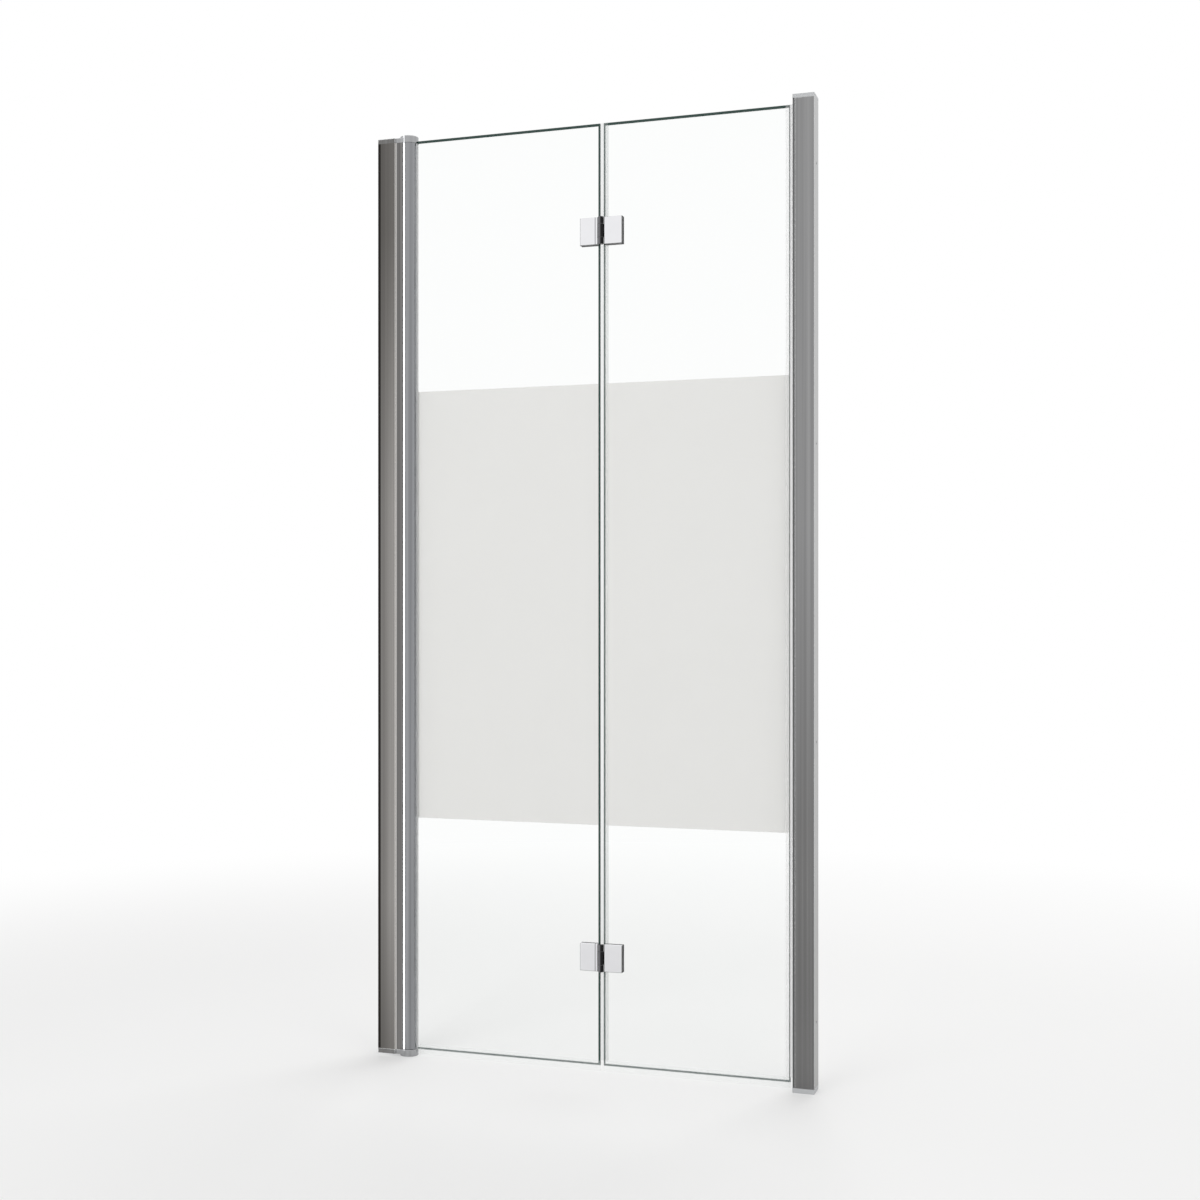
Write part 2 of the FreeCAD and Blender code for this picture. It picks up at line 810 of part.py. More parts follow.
def build_panes():
    notched = [
        ("hinge_glass_left", "column_low"),
        ("notch_edge", "column_low"),
        ("notch_edge", "glass_low"),
        ("hinge_glass_right", "glass_low"),
        ("hinge_glass_right", "glass_high"),
        ("notch_edge", "glass_high"),
        ("notch_edge", "column_high"),
        ("hinge_glass_left", "column_high"),
    ]
    pane("hinge_panel_glass", notched, "fold_x - leaf_centre")
    plain = rectangle(("folding_glass_left", "folding_glass_right"), ("glass_low", "glass_high"))
    pane("folding_panel_glass", plain, "fold_x + leaf_centre")
    frosted_band("hinge_panel_frosted_band", ("gasket_mouth", "hinge_glass_right - glass_edge_bevel"))
    folding_ends = ("folding_glass_left + glass_edge_bevel", "folding_glass_right - glass_edge_bevel")
    frosted_band("folding_panel_frosted_band", folding_ends)


# Clear seals

def bottom_seal(name, x_ends):
    """Clip on the lower edge of a pane with an upright lip and a fin that sheds water inwards."""
    floor = "glass_low - seal_wall"
    tip = "glass_low - drip_drop"
    lip_half = "seal_wall / 2"
    section = [
        ("-clip_outer", "glass_low + seal_leg"),
        ("-clip_outer", floor),
        (f"-{lip_half}", floor),
        (f"-{lip_half}", tip),
        (lip_half, tip),
        (lip_half, floor),
        ("glass_half", floor),
        ("clip_outer + drip_fin_reach - seal_wall", tip),
        ("clip_outer + drip_fin_reach", tip),
        ("clip_outer", floor),
        ("clip_outer", "glass_low + seal_leg"),
        ("glass_half", "glass_low + seal_leg"),
        ("glass_half", "glass_low"),
        ("-glass_half", "glass_low"),
        ("-glass_half", "glass_low + seal_leg"),
    ]
    node(name, extrusion(name, "YZ_Plane", [section], x_ends))


def middle_seal(name, z_ends):
    """Clip on the folding pane's edge with a nose that closes the gap between the panes."""
    edge = "folding_glass_left"
    back = f"{edge} - seal_wall"
    leg = f"{edge} + seal_leg"
    tip = "hinge_glass_right + middle_seal_tip_gap"
    section = [
        (leg, "-clip_outer"),
        (back, "-clip_outer"),
        (back, "-middle_seal_nose_half"),
        (tip, "-middle_seal_nose_half"),
        (tip, "middle_seal_nose_half"),
        (back, "middle_seal_nose_half"),
        (back, "clip_slot + seal_wall"),
        (leg, "clip_slot + seal_wall"),
        (leg, "clip_slot"),
        (edge, "clip_slot"),
        (edge, "-glass_half"),
        (leg, "-glass_half"),
    ]
    node(name, extrusion(name, "XY_Plane", [section], z_ends))


def magnet_seal(name, z_ends):
    """Clip on the folding pane's free edge with a nose that holds the door magnet."""
    edge = "folding_glass_right"
    leg = f"{edge} - seal_leg"
    back = f"{edge} + seal_wall"
    section = [
        (leg, "-clip_outer"),
        ("door_end", "-clip_outer"),
        ("door_end", "clip_outer"),
        (back, "clip_outer"),
        (back, "clip_slot + seal_wall"),
        (leg, "clip_slot + seal_wall"),
        (leg, "clip_slot"),
        (edge, "clip_slot"),
        (edge, "-glass_half"),
        (leg, "-glass_half"),
    ]
    node(name, extrusion(name, "XY_Plane", [section, magnet_room("door_end", -1)], z_ends))


def build_seals():
    bottom_seal("hinge_panel_bottom_seal", ("column_edge + seal_column_gap", "hinge_glass_right"))
    bottom_seal("folding_panel_bottom_seal", ("folding_glass_left", "folding_glass_right"))
    clear = "hinge_half + seal_end_gap"
    middle_seal("middle_seal_lower", ("seal_low", f"lower_hinge_z - ({clear})"))
    middle_seal("middle_seal_centre", (f"lower_hinge_z + {clear}", f"upper_hinge_z - ({clear})"))
    middle_seal("middle_seal_upper", (f"upper_hinge_z + {clear}", "glass_high"))
    magnet_seal("door_magnet_seal", ("seal_low", "glass_high"))
    magnet("door_magnet", "door_end", -1, ("seal_low", "glass_high"))


# Glass hinges: a leaf and a clamp plate on each pane, knuckles on the outer side and a pin

FOLD = ("fold_x", "fold_y")
HINGE_SCREW = ("hinge_screw_radius", "hinge_screw_head_radius", "hinge_screw_head_depth")
SCREW_TIP = "leaf_front + hinge_screw_floor"


def leaf_ends(side):
    """Low and high end of a leaf along the door. Side is -1 on the hinge panel and 1 on the other."""
    ends = ("fold_x - leaf_far_edge", "fold_x - leaf_edge")
    return ends if side < 0 else ("fold_x + leaf_edge", "fold_x + leaf_far_edge")


def leaf_screw_places(side, middle):
    return [(f"fold_x + {side} * leaf_centre", height) for height in hinge_screw_heights(middle)]


def height_ends(middle, low, high):
    return (f"{middle} + {low}", f"{middle} + {high}")


def hinge_plate(name, side, middle, y_ends, face):
    """Square plate whose outer face has eased edges."""
    section = rectangle(leaf_ends(side), height_ends(middle, "(-hinge_half)", "hinge_half"))
    body = extrusion(name, "XZ_Plane", [section], y_ends)
    ease_edges(body, "Chamfer", "Size", "hinge_plate_bevel", lambda edge: lies_at(edge, "y", face))
    return body


def knuckle(name, side, z_ends):
    """Round knuckle on the fold axis with the arm that joins it to its leaf."""
    arm_ends = ("fold_x - leaf_edge", "fold_x") if side < 0 else ("fold_x", "fold_x + leaf_edge")
    barrel = rod(f"{name}_barrel", "z", FOLD, "knuckle_radius", z_ends)
    arm = box(f"{name}_arm", arm_ends, ("leaf_front", "leaf_back"), z_ends)
    return fuse(name, barrel, arm)


def outer_leaf(name, side, middle, knuckle_spans):
    plate = hinge_plate(f"{name}_plate", side, middle, ("leaf_front", "leaf_back"), "leaf_front")
    knuckles = [
        knuckle(f"{name}_knuckle", side, height_ends(middle, low, high)) for low, high in knuckle_spans
    ]
    blank = fuse(f"{name}_blank", plate, *knuckles)
    bore_ends = height_ends(middle, "(-hinge_half - cut_overrun)", "(hinge_half + cut_overrun)")
    bore = rod(f"{name}_bore", "z", FOLD, "hinge_pin_radius + running_clearance", bore_ends)
    tapped = [
        rod(
            f"{name}_tapped_hole", "y", place, "hinge_screw_radius + running_clearance",
            (f"{SCREW_TIP} - running_clearance", "leaf_back + cut_overrun"),
        )
        for place in leaf_screw_places(side, middle)
    ]
    node(name, cut(name, blank, bore, *tapped))


def inner_plate(name, side, middle):
    y_ends = ("inner_plate_back", "inner_plate_front")
    plate = hinge_plate(f"{name}_blank", side, middle, y_ends, "inner_plate_front")
    hole_ends = ("inner_plate_back - cut_overrun", "inner_plate_front")
    holes = [
        countersunk_hole(f"{name}_hole", place, *HINGE_SCREW, hole_ends)
        for place in leaf_screw_places(side, middle)
    ]
    node(name, cut(name, plate, *holes))


def hinge_gasket(name, side, middle, sheet_ends, sleeve_ends):
    """Sheet between a plate and the glass, with a sleeve in each hole of the glass."""
    z_ends = height_ends(middle, "(-hinge_half)", "hinge_half")
    places = leaf_screw_places(side, middle)
    sheet = box(f"{name}_sheet", leaf_ends(side), sheet_ends, z_ends)
    sleeve_radius = "glass_hole_radius - plug_clearance"
    sleeves = [rod(f"{name}_sleeve", "y", place, sleeve_radius, sleeve_ends) for place in places]
    hole_ends = ("leaf_back - cut_overrun", "inner_plate_back + cut_overrun")
    hole_radius = "hinge_screw_radius + plug_clearance"
    holes = [rod(f"{name}_hole", "y", place, hole_radius, hole_ends) for place in places]
    return cut(name, fuse(f"{name}_blank", sheet, *sleeves), *holes)


def hinge_gaskets(name, side, middle):
    outer_ends = ("leaf_back", "-glass_half")
    inner_ends = ("glass_half", "inner_plate_back")
    outer = hinge_gasket(f"{name}_outer", side, middle, outer_ends, ("-glass_half", "0"))
    inner = hinge_gasket(f"{name}_inner", side, middle, inner_ends, ("0", "glass_half"))
    node(name, group(name, [outer, inner]))


def hinge_screws(name, side, middle):
    screws = []
    for place in leaf_screw_places(side, middle):
        blank = countersunk_screw(f"{name}_blank", place, *HINGE_SCREW, (SCREW_TIP, "inner_plate_front"))
        socket_ends = ("inner_plate_front - hinge_socket_depth", "inner_plate_front + cut_overrun")
        socket = hexagon(f"{name}_socket", "y", place, "hinge_socket_radius", socket_ends)
        screws.append(cut(f"{name}_screw", blank, socket))
    node(name, group(name, screws))


def hinge_washers(name, middle):
    bore = "hinge_pin_radius + running_clearance"
    low = span(f"{middle} - hinge_washer_inner", -1, "hinge_washer_thickness")
    high = span(f"{middle} + hinge_washer_inner", 1, "hinge_washer_thickness")
    rings = [ring(f"{name}_ring", FOLD, "hinge_washer_radius", bore, ends) for ends in (low, high)]
    node(name, group(name, rings))


def build_hinges():
    end_spans = [("(-hinge_half)", "(-end_knuckle_inner)"), ("end_knuckle_inner", "hinge_half")]
    middle_spans = [("(-middle_knuckle_half)", "middle_knuckle_half")]
    for place, middle in HINGES.items():
        hinge = f"{place}_hinge"
        for leaf, side, spans in (("fixed", -1, end_spans), ("moving", 1, middle_spans)):
            outer_leaf(f"{hinge}_{leaf}_leaf", side, middle, spans)
            inner_plate(f"{hinge}_{leaf}_inner_plate", side, middle)
            hinge_gaskets(f"{hinge}_{leaf}_gaskets", side, middle)
            hinge_screws(f"{hinge}_{leaf}_screws", side, middle)
        pin_ends = height_ends(middle, "(-hinge_half)", "hinge_half")
        pin = f"{hinge}_pin"
        node(pin, rod(pin, "z", FOLD, "hinge_pin_radius", pin_ends))
        hinge_washers(f"{hinge}_washers", middle)


# Checks before anything is written

def check_document():
    doc.recompute()
    for thing in doc.Objects:
        if {"Invalid", "Error"} & set(thing.State):
            raise RuntimeError(f"{thing.Label} failed: {thing.State}")
    for name, piece in nodes.items():
        shape = piece.Shape
        if shape.isNull() or not shape.isValid() or not shape.Solids:
            raise RuntimeError(f"{name} has no valid solid")
    for after, before in cuts:
        if not after.Shape.Volume < before.Shape.Volume:
            raise RuntimeError(f"{after.Label} took nothing away")


def write_parts():
    os.makedirs("parts", exist_ok=True)
    for name, piece in nodes.items():
        piece.Shape.exportStep(f"parts/{name}.step")
        print(name, len(piece.Shape.Solids), round(piece.Shape.Volume), "mm3")


build_hinge_channel()
build_pivot_carrier()
build_pivot_brackets()
build_thrust_washer()
build_strike_channel()
build_strike_profile()
build_strike_magnet()
build_strike_caps()
build_column()
build_column_plugs()
build_glazing_gasket()
build_panes()
build_seals()
build_hinges()
check_document()
write_parts()
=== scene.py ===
import json
import math

import bpy
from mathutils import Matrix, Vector


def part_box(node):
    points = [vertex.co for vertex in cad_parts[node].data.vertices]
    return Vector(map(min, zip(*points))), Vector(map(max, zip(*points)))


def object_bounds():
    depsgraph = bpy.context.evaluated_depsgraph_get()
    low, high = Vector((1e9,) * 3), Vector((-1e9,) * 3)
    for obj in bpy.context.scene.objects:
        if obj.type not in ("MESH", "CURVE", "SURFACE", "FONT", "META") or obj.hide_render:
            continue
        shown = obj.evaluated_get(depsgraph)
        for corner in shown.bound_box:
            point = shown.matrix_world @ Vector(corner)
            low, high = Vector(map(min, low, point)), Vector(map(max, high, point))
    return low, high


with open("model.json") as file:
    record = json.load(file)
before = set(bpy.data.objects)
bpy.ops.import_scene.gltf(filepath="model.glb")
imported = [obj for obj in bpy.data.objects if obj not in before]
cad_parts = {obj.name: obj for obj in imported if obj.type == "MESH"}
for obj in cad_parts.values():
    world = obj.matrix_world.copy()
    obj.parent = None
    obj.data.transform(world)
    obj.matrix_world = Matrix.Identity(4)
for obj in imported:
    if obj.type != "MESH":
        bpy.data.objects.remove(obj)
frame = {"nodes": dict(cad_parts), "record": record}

CAD_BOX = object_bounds()
WHITE = (1, 1, 1, 1)


def node_box(name):
    """The low and the high corner of a node's box."""
    low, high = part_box(name)
    return Vector(low), Vector(high)


# Places on the door that the finishes follow, in metres in the door's own frame

DOOR_LEFT = CAD_BOX[0][0]
HINGE_LIP = node_box("hinge_wall_channel")[1].x
COLUMN_LEFT = node_box("door_column")[0].x
FOLD_X = sum(node_box("upper_hinge_pin"), Vector()).x / 2
KNUCKLE_REACH = node_box("upper_hinge_moving_inner_plate")[0].x - FOLD_X
PANE_END = node_box("folding_panel_glass")[1].x


# The photograph's camera, from its vanishing points

PHOTO_PIXELS = 1200
FOCAL_PIXELS = 1620
HORIZON_PIXEL = 615
SENSOR_MM = 36
CAMERA_PLACE = (0.987, -2.984, 0.885)
CAMERA_TILT_DEG = 90
CAMERA_TURN_DEG = 17.95


def add_camera():
    data = bpy.data.cameras.new("photo_camera")
    data.sensor_width = SENSOR_MM
    data.lens = FOCAL_PIXELS / PHOTO_PIXELS * SENSOR_MM
    data.shift_y = (HORIZON_PIXEL - PHOTO_PIXELS / 2) / PHOTO_PIXELS
    camera = bpy.data.objects.new("photo_camera", data)
    camera.location = CAMERA_PLACE
    camera.rotation_euler = (math.radians(CAMERA_TILT_DEG), 0, math.radians(CAMERA_TURN_DEG))
    bpy.context.scene.collection.objects.link(camera)
    bpy.context.scene.camera = camera


# Node trees. The MIX numbers are a Mix node's sockets when it mixes colours.

MIX_FACTOR, MIX_FIRST, MIX_SECOND, MIX_COLOUR = 0, 6, 7, 2
BEVEL_SAMPLES = 4
NOISE_DETAIL = 4.0
NOISE_ROUGHNESS = 0.55
NOISE_LOW, NOISE_HIGH = 0.3, 0.7
RIM_TURNED, RIM_FLAT = 0.90, 0.995
LOOKS_DOWN = -0.05


def add_node(tree, kind, values=None, **properties):
    """A node with its inputs set by name or number. A socket as a value is linked."""
    node = tree.nodes.new(kind)
    for name, value in properties.items():
        setattr(node, name, value)
    for key, value in (values or {}).items():
        if isinstance(value, bpy.types.NodeSocket):
            tree.links.new(value, node.inputs[key])
        else:
            node.inputs[key].default_value = value
    return node


def as_colour(tone):
    return tone if isinstance(tone, bpy.types.NodeSocket) else (*tone, 1)


class Finish:
    """A material with one Principled shader, and short calls for the nodes that feed it."""

    def __init__(self, name, constants=None):
        self.material = bpy.data.materials.new(name)
        self.material.use_nodes = True
        self.tree = self.material.node_tree
        self.shader = self.tree.nodes["Principled BSDF"]
        for socket, value in (constants or {}).items():
            self.shader.inputs[socket].default_value = value
        self.place = add_node(self.tree, "ShaderNodeTexCoord")

    def feed(self, socket, output):
        self.tree.links.new(output, self.shader.inputs[socket])

    def math(self, operation, *terms):
        values = dict(enumerate(terms))
        return add_node(self.tree, "ShaderNodeMath", values, operation=operation).outputs[0]

    def along(self, axis, space="Object"):
        """A surface point's place on an axis, in metres, or with Normal the way its face looks."""
        values = {0: self.place.outputs[space]}
        return add_node(self.tree, "ShaderNodeSeparateXYZ", values).outputs[axis]

    def distance(self, axis, middle):
        """How far a surface point lies from a place on an axis, in metres."""
        return self.math("ABSOLUTE", self.math("SUBTRACT", self.along(axis), middle))

    def faces(self, axis, least):
        """1 where a face looks along an axis, either way, by at least a share."""
        return self.math("GREATER_THAN", self.math("ABSOLUTE", self.along(axis, "Normal")), least)

    def rounded(self, radius):
        """The way a surface looks with its edges rounded."""
        values = {"Radius": radius}
        return add_node(self.tree, "ShaderNodeBevel", values, samples=BEVEL_SAMPLES).outputs[0]

    def highlight_rim(self, width):
        """Painted highlight mask: 1 on an edge that doesn't look down, and 0 a width away from it.
        """
        rounded = self.rounded(width)
        flat = add_node(self.tree, "ShaderNodeNewGeometry").outputs["Normal"]
        product = add_node(
            self.tree, "ShaderNodeVectorMath", {0: rounded, 1: flat}, operation="DOT_PRODUCT",
        )
        edge = self.ranged(product.outputs["Value"], 1.0, 0.0, RIM_TURNED, RIM_FLAT)
        rise = add_node(self.tree, "ShaderNodeSeparateXYZ", {0: rounded}).outputs["Z"]
        return self.math("MULTIPLY", self.math("GREATER_THAN", rise, LOOKS_DOWN), edge)

    def noise(self, per_metre, detail=NOISE_DETAIL):
        """Noise from 0 to 1 with so many waves to the metre along X, Y and Z."""
        mapping = {"Vector": self.place.outputs["Object"], "Scale": per_metre}
        values = {
            "Vector": add_node(self.tree, "ShaderNodeMapping", mapping).outputs[0],
            "Scale": 1.0,
            "Detail": detail,
            "Roughness": NOISE_ROUGHNESS,
        }
        return add_node(self.tree, "ShaderNodeTexNoise", values).outputs["Fac"]

    def ranged(self, factor, low, high, start=NOISE_LOW, end=NOISE_HIGH):
        """A value that goes from low to high while a factor goes from start to end."""
        values = {
            "Value": factor, "From Min": start, "From Max": end, "To Min": low, "To Max": high,
        }
        return add_node(self.tree, "ShaderNodeMapRange", values).outputs["Result"]

    def tinted(self, factor, first, second):
        """A colour between two others, each a plain colour or another node's output."""
        values = {
            MIX_FACTOR: factor, MIX_FIRST: as_colour(first), MIX_SECOND: as_colour(second),
        }
        return add_node(self.tree, "ShaderNodeMix", values, data_type="RGBA").outputs[MIX_COLOUR]

    def relief(self, height, depth, rounding=None):
        """Bump of a depth in metres, on edges that can be rounded in the shading."""
        values = {"Height": height, "Distance": depth, "Strength": 1.0}
        if rounding:
            values["Normal"] = self.rounded(rounding)
        self.feed("Normal", add_node(self.tree, "ShaderNodeBump", values).outputs[0])


# Finishes. Tones are pairs of colours, the darker one first. Noise is in waves to the metre
# along X, Y and Z. Widths, reaches and depths are in metres.

EDGE_ROUNDING = 0.0004
FACE_NORMAL = 0.9
END_NORMAL = 0.35
PLASTIC_IOR = 1.45
CLEAR_ALPHA = 0.16

DRAWN_LINES = (900, 900, 4)
DRAWN_BANDS = (170, 170, 0.6)
DRAWN_ROUGHNESS = (0.10, 0.18)
DRAWN_DEPTH = 0.000001
BAND_SHARE = 0.3
REFLECTION_SPAN_SHARE = 0.7
# The rim width is that of the painted highlights along edges; the bright colour is shared by the
# cut ends and those painted highlights.
RIM_HIGHLIGHT_WIDTH = 0.0018
END_AND_HIGHLIGHT_COLOUR = (0.78, 0.785, 0.795)
# Colour that the painted shade darkens profiles towards.
PAINTED_SHADE_COLOUR = (0.054, 0.050, 0.045)


def polished_aluminium(name, tones, rim_highlights=False, painted_strips=(), reflection_span=None, painted_shades=()):
    """Drawn profile with faint lines along it, bright cut ends and on some pieces painted
    highlights along the rims. A strip is a painted line along a profile's front and back, a shadow
    where it is
    dark and a highlight where it is light: its X, its reach and its colour. The span is a painted
    reflection across the profile: the X where it is darkest and the X where it is lightest. A
    painted
    shade darkens towards some heights: the Z where it starts, the Z where it stops, and the share
    there."""
    finish = Finish(name, {"Metallic": 1.0})
    lines = finish.noise(DRAWN_LINES)
    tone = finish.ranged(finish.noise(DRAWN_BANDS), 0.0, 1.0)
    # Painted reflection: the tone runs from dark to light across the profile along X.
    if reflection_span:
        reflection_slope = finish.ranged(finish.along("X"), 0.0, 1.0, *reflection_span)
        shares = (
            finish.math("MULTIPLY", tone, BAND_SHARE), finish.math("MULTIPLY", reflection_slope, REFLECTION_SPAN_SHARE),
        )
        tone = finish.math("ADD", *shares)
    face = finish.tinted(tone, *tones)
    # Painted shade: the profile darkens towards given heights, as if it mirrored a darker room
    # there.
    for start, end, share in painted_shades:
        shade_share = finish.ranged(finish.along("Z"), 0.0, share, start, end)
        face = finish.tinted(shade_share, face, PAINTED_SHADE_COLOUR)
    # Strips are painted lines: dark ones are painted shadow, light ones painted highlights.
    for middle, reach, colour in painted_strips:
        near = finish.math("LESS_THAN", finish.distance("X", middle), reach)
        on_strip = finish.math("MULTIPLY", near, finish.faces("Y", FACE_NORMAL))
        face = finish.tinted(on_strip, face, colour)
    # Bright cut ends, and on some pieces painted highlights along edges that don't look down.
    ends_and_highlights = finish.faces("Z", END_NORMAL)
    if rim_highlights:
        ends_and_highlights = finish.math("MAXIMUM", ends_and_highlights, finish.highlight_rim(RIM_HIGHLIGHT_WIDTH))
    finish.feed("Base Color", finish.tinted(ends_and_highlights, face, END_AND_HIGHLIGHT_COLOUR))
    finish.feed("Roughness", finish.ranged(lines, *DRAWN_ROUGHNESS))
    finish.relief(lines, DRAWN_DEPTH, EDGE_ROUNDING)
    return finish.material


PLATE_TONES = (0.80, 0.80, 0.82), (0.86, 0.86, 0.88)
# Painted shade on the plates' ends and undersides
SHADE_TONES = (0.025, 0.025, 0.026), (0.045, 0.045, 0.047)
# Painted reflection on the knuckles, from their left side to their right side
KNUCKLE_REFLECTION_LEFT = (0.16, 0.16, 0.167)
KNUCKLE_REFLECTION_RIGHT = (0.018, 0.018, 0.019)
KNUCKLE_REFLECTION_TURN = 0.002
# Painted shade line where the fixed leaves bend round their knuckles
SEAM_SHADE_COLOUR = (0.36, 0.36, 0.38)
SEAM_FROM_FOLD = 0.0116
SEAM_REACH = 0.0009
CHROME_SMUDGES = (40, 40, 40)
CHROME_RIPPLE = (300, 300, 300)
CHROME_RIPPLE_DETAIL = 2.0
CHROME_ROUGHNESS = (0.05, 0.12)
CHROME_DEPTH = 0.000004


def chrome():
    """Polished plating with faint handling marks. The knuckles carry a painted reflection, lighter
    on the left and dark on the right; the plates' ends and undersides carry painted shade; and a
    painted shade line marks where the fixed leaves are bent round their knuckles."""
    finish = Finish("chrome", {"Metallic": 1.0})
    smudges = finish.noise(CHROME_SMUDGES)
    ripple = finish.noise(CHROME_RIPPLE, CHROME_RIPPLE_DETAIL)
    # Painted shade line along the bend beside the fixed leaves' knuckles.
    from_seam = finish.distance("X", FOLD_X - SEAM_FROM_FOLD)
    on_seam_shade = finish.math("LESS_THAN", from_seam, SEAM_REACH)
    plate = finish.tinted(on_seam_shade, finish.tinted(smudges, *PLATE_TONES), SEAM_SHADE_COLOUR)
    # Painted shade on the plates' undersides and on their ends along X.
    below = finish.math("LESS_THAN", finish.along("Z", "Normal"), -END_NORMAL)
    ends = finish.math("MAXIMUM", below, finish.faces("X", END_NORMAL))
    leaf = finish.tinted(ends, plate, finish.tinted(smudges, *SHADE_TONES))
    # Painted reflection on the knuckle: light on its left, dark on its right.
    reflection_turn = finish.ranged(
        finish.along("X"), 0.0, 1.0, FOLD_X - KNUCKLE_REFLECTION_TURN, FOLD_X + KNUCKLE_REFLECTION_TURN,
    )
    knuckle_reflection = finish.tinted(reflection_turn, KNUCKLE_REFLECTION_LEFT, KNUCKLE_REFLECTION_RIGHT)
    on_knuckle = finish.math("LESS_THAN", finish.distance("X", FOLD_X), KNUCKLE_REACH)
    finish.feed("Base Color", finish.tinted(on_knuckle, leaf, knuckle_reflection))
    finish.feed("Roughness", finish.ranged(smudges, *CHROME_ROUGHNESS))
    finish.relief(ripple, CHROME_DEPTH, EDGE_ROUNDING)
    return finish.material


STEEL_TONES = (0.48, 0.47, 0.46), (0.60, 0.59, 0.58)
STEEL_RINGS = (60, 60, 5000)
STEEL_ROUGHNESS = (0.22, 0.36)
STEEL_DEPTH = 0.00001


def stainless_steel():
    """Turned pins and screws."""
    finish = Finish("stainless_steel", {"Metallic": 1.0})
    rings = finish.noise(STEEL_RINGS)
    finish.feed("Base Color", finish.tinted(rings, *STEEL_TONES))
    finish.feed("Roughness", finish.ranged(rings, *STEEL_ROUGHNESS))
    finish.relief(rings, STEEL_DEPTH, EDGE_ROUNDING)
    return finish.material


CLEAR_TONES = (0.970, 0.981, 0.976), (0.980, 0.987, 0.983)
EDGE_AND_REFLECTION_TONES = (0.006, 0.030, 0.023), (0.012, 0.045, 0.036)
GLASS_IOR = 1.5
GLASS_HAZE = (9, 9, 9)
GLASS_ROUGHNESS = (0.0, 0.012)
# Widths of the painted edge reflections on the panes' faces, in metres
FIXED_FOLD_EDGE_REFLECTION = 0.0032
MOVING_FOLD_EDGE_REFLECTION = 0.0025
OUTER_EDGE_REFLECTION = 0.0022
BOTTOM_EDGE_REFLECTION = 0.0032
TOP_EDGE_REFLECTION = 0.0045


def clear_glass(node, left_reflection, right_reflection):
    """Clear pane whose ground edges are dark green, with dark green bands painted on both faces
    along the edges as a painted reflection of the edges seen through the glass.
    """
    finish = Finish(f"{node}_finish", {"IOR": GLASS_IOR})
    haze = finish.noise(GLASS_HAZE)
    low, high = node_box(node)
    inner_low = low.xz + Vector((left_reflection, BOTTOM_EDGE_REFLECTION))
    inner_high = high.xz - Vector((right_reflection, TOP_EDGE_REFLECTION))
    # The edge faces, and painted reflection bands of the given widths along them.
    edge = finish.math("SUBTRACT", 1.0, finish.faces("Y", FACE_NORMAL))
    for axis, near, far in zip("XZ", inner_low, inner_high):
        from_middle = finish.distance(axis, (near + far) / 2)
        beyond = finish.math("GREATER_THAN", from_middle, (far - near) / 2)
        edge = finish.math("MAXIMUM", edge, beyond)
    clear = finish.tinted(haze, *CLEAR_TONES)
    edge_and_reflection = finish.tinted(haze, *EDGE_AND_REFLECTION_TONES)
    finish.feed("Base Color", finish.tinted(edge, clear, edge_and_reflection))
    finish.feed("Transmission Weight", finish.math("SUBTRACT", 1.0, edge))
    finish.feed("Roughness", finish.ranged(haze, *GLASS_ROUGHNESS))
    return finish.material


FROST_TONES = (0.756, 0.748, 0.734), (0.776, 0.768, 0.754)
FROST_IOR = 1.45
FROST_CLOUDS = (6, 6, 6)
FROST_GRAIN = (2500, 2500, 2500)
FROST_GRAIN_DETAIL = 2.0
FROST_ROUGHNESS = (0.5, 0.7)
FROST_DEPTH = 0.00001


def frosted_glass():
    """Satin layer that nothing shows through, with a fine grain."""
    finish = Finish("frosted_glass", {"IOR": FROST_IOR, "Specular IOR Level": 0.0})
    grain = finish.noise(FROST_GRAIN, FROST_GRAIN_DETAIL)
    finish.feed("Base Color", finish.tinted(finish.noise(FROST_CLOUDS), *FROST_TONES))
    finish.feed("Roughness", finish.ranged(grain, *FROST_ROUGHNESS))
    finish.relief(grain, FROST_DEPTH)
    return finish.material


SEAL_DEPTH = 0.000006
WHITE_SEAL_TONES = (0.90, 0.90, 0.905), (0.94, 0.94, 0.945)
WHITE_SEAL_LINES = (700, 700, 6)
WHITE_SEAL_ROUGHNESS = (0.15, 0.3)
CLEAR_SEAL_TONES = (0.84, 0.86, 0.855), (0.92, 0.935, 0.93)
MIDDLE_SEAL_TONES = (0.50, 0.52, 0.515), (0.58, 0.595, 0.59)
CLEAR_SEAL_LINES = (40, 700, 40)
CLEAR_SEAL_ROUGHNESS = (0.10, 0.22)


def magnet_seal():
    """Clear clip on the glass with a white nose that holds the magnet."""
    finish = Finish("white_seal", {"IOR": PLASTIC_IOR})
    lines = finish.noise(WHITE_SEAL_LINES)
    nose = finish.math("GREATER_THAN", finish.along("X"), PANE_END)
    finish.feed("Base Color", finish.tinted(lines, *WHITE_SEAL_TONES))
    finish.feed("Alpha", finish.ranged(nose, CLEAR_ALPHA, 1.0, 0.0, 1.0))
    finish.feed("Roughness", finish.ranged(lines, *WHITE_SEAL_ROUGHNESS))
    finish.relief(lines, SEAL_DEPTH, EDGE_ROUNDING)
    return finish.material


def clear_seal(name, tones):
    """Clear soft plastic with faint extrusion lines."""
    finish = Finish(name, {"IOR": PLASTIC_IOR, "Alpha": CLEAR_ALPHA})
    lines = finish.noise(CLEAR_SEAL_LINES)
    finish.feed("Base Color", finish.tinted(lines, *tones))
    finish.feed("Roughness", finish.ranged(lines, *CLEAR_SEAL_ROUGHNESS))
    finish.relief(lines, SEAL_DEPTH, EDGE_ROUNDING)
    return finish.material


